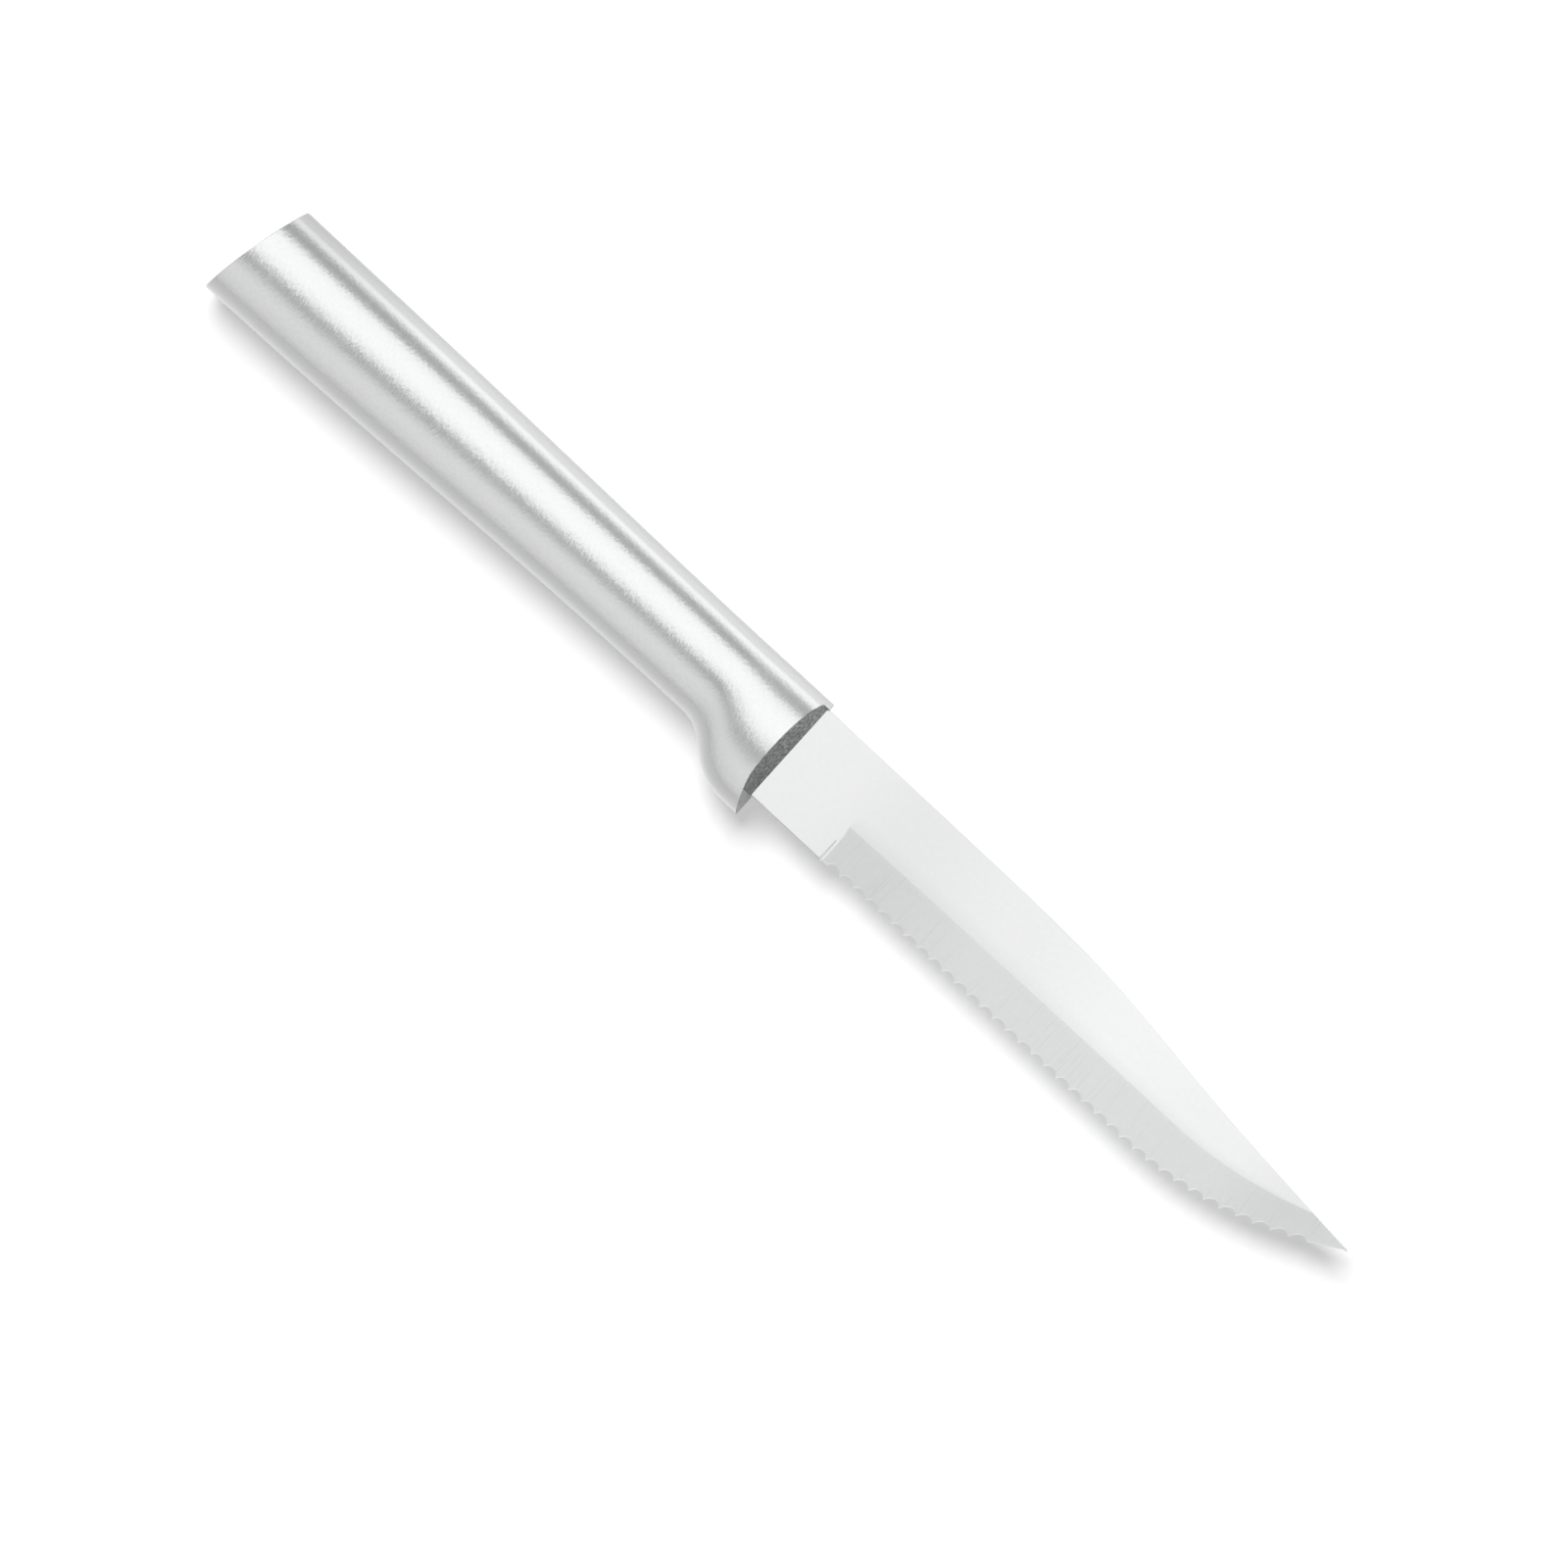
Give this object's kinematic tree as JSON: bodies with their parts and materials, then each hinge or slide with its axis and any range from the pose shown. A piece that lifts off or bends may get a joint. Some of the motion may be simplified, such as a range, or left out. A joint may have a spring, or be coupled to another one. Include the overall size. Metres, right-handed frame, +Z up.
{
  "type": "serrated steak knife",
  "caption": "Table knife for meat: a scalloped, ground steel blade whose tang is cast into a solid oval aluminium handle with a waist and a finger guard.",
  "frame": {"origin": "on the surface the knife lies on, under the middle of its length and height", "axes": "+X from the butt of the handle to the point of the blade, +Y towards the spine, +Z up through the flat of the blade"},
  "size_m": [0.1968, 0.0196, 0.0125],
  "materials": {
    "ground_steel": "satin, finely ground across the blade",
    "brushed_aluminium": "brushed round the handle, rough as cast on the front face"
  },
  "bodies": {
    "root": {"blade": "ground_steel", "handle": "brushed_aluminium"}
  },
  "joints": []
}
